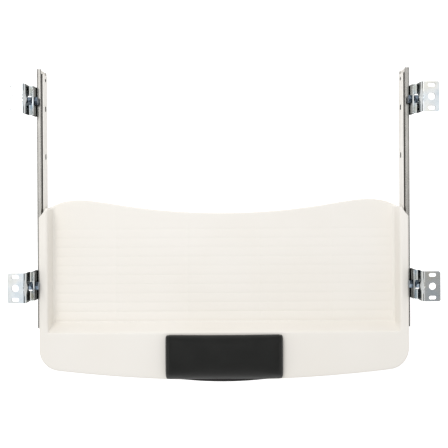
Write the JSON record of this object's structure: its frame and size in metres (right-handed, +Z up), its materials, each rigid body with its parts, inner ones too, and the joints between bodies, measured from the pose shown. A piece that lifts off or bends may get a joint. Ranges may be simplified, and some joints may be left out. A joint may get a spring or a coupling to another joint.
{
  "type": "under desk keyboard drawer",
  "caption": "Moulded keyboard drawer with wavy open rear edge and soft wrist rest, on ball bearing slides hung from adjustable steel desk brackets.",
  "frame": {"origin": "on the desk's underside (the plane of the flange tops), midway between the slides and at the middle of the slides' length", "axes": "+Z up into the desk, +X to the user's right, +Y to the rear; the drawer opens towards -Y"},
  "size_m": [0.723, 0.5422, 0.097],
  "materials": {
    "tray_plastic": "satin moulded, cream white",
    "black_plastic": "black, matte",
    "pad_fabric": "fine matte black cover over foam",
    "zinc": "bright zinc plated steel, slightly blue",
    "slide_steel": "zinc plated rolled steel, satin",
    "ball_steel": "polished"
  },
  "bodies": {
    "mount_frame": {"left_outer_member": "slide_steel", "left_rear_bumper": "tray_plastic", "left_rear_desk_bracket": "zinc", "left_rear_hanger": "zinc", "left_rear_bolt": "zinc", "left_rear_washer": "zinc", "left_rear_nut": "zinc", "left_rear_rivet_1": "zinc", "left_rear_rivet_2": "zinc", "left_front_desk_bracket": "zinc", "left_front_hanger": "zinc", "left_front_bolt": "zinc", "left_front_washer": "zinc", "left_front_nut": "zinc", "left_front_rivet_1": "zinc", "left_front_rivet_2": "zinc", "right_outer_member": "slide_steel", "right_rear_bumper": "tray_plastic", "right_rear_desk_bracket": "zinc", "right_rear_hanger": "zinc", "right_rear_bolt": "zinc", "right_rear_washer": "zinc", "right_rear_nut": "zinc", "right_rear_rivet_1": "zinc", "right_rear_rivet_2": "zinc", "right_front_desk_bracket": "zinc", "right_front_hanger": "zinc", "right_front_bolt": "zinc", "right_front_washer": "zinc", "right_front_nut": "zinc", "right_front_rivet_1": "zinc", "right_front_rivet_2": "zinc"},
    "drawer": {"tray": "tray_plastic", "wrist_rest_base": "black_plastic", "wrist_rest_pad": "pad_fabric", "wrist_rest_screw_left": "zinc", "wrist_rest_screw_right": "zinc", "left_inner_member": "slide_steel", "left_tray_screw_1": "zinc", "left_tray_screw_2": "zinc", "left_tray_screw_3": "zinc", "right_inner_member": "slide_steel", "right_tray_screw_1": "zinc", "right_tray_screw_2": "zinc", "right_tray_screw_3": "zinc"},
    "left_ball_cage": {"left_ball_cage": "zinc", "left_ball_1": "ball_steel", "left_ball_2": "ball_steel", "left_ball_3": "ball_steel", "left_ball_4": "ball_steel", "left_ball_5": "ball_steel", "left_ball_6": "ball_steel"},
    "right_ball_cage": {"right_ball_cage": "zinc", "right_ball_1": "ball_steel", "right_ball_2": "ball_steel", "right_ball_3": "ball_steel", "right_ball_4": "ball_steel", "right_ball_5": "ball_steel", "right_ball_6": "ball_steel"}
  },
  "joints": [
    {"name": "drawer_slide", "type": "slide", "parent": "mount_frame", "child": "drawer", "axis": [0, -1, 0], "range_m": [0, 0.335]},
    {"name": "left_cage_roll", "type": "slide", "parent": "mount_frame", "child": "left_ball_cage", "axis": [0, -1, 0], "range_m": [0, 0.168]},
    {"name": "right_cage_roll", "type": "slide", "parent": "mount_frame", "child": "right_ball_cage", "axis": [0, -1, 0], "range_m": [0, 0.168]}
  ],
  "couplings": [
    {"joint": "left_cage_roll", "follows": "drawer_slide", "ratio": 0.5},
    {"joint": "right_cage_roll", "follows": "drawer_slide", "ratio": 0.5}
  ]
}
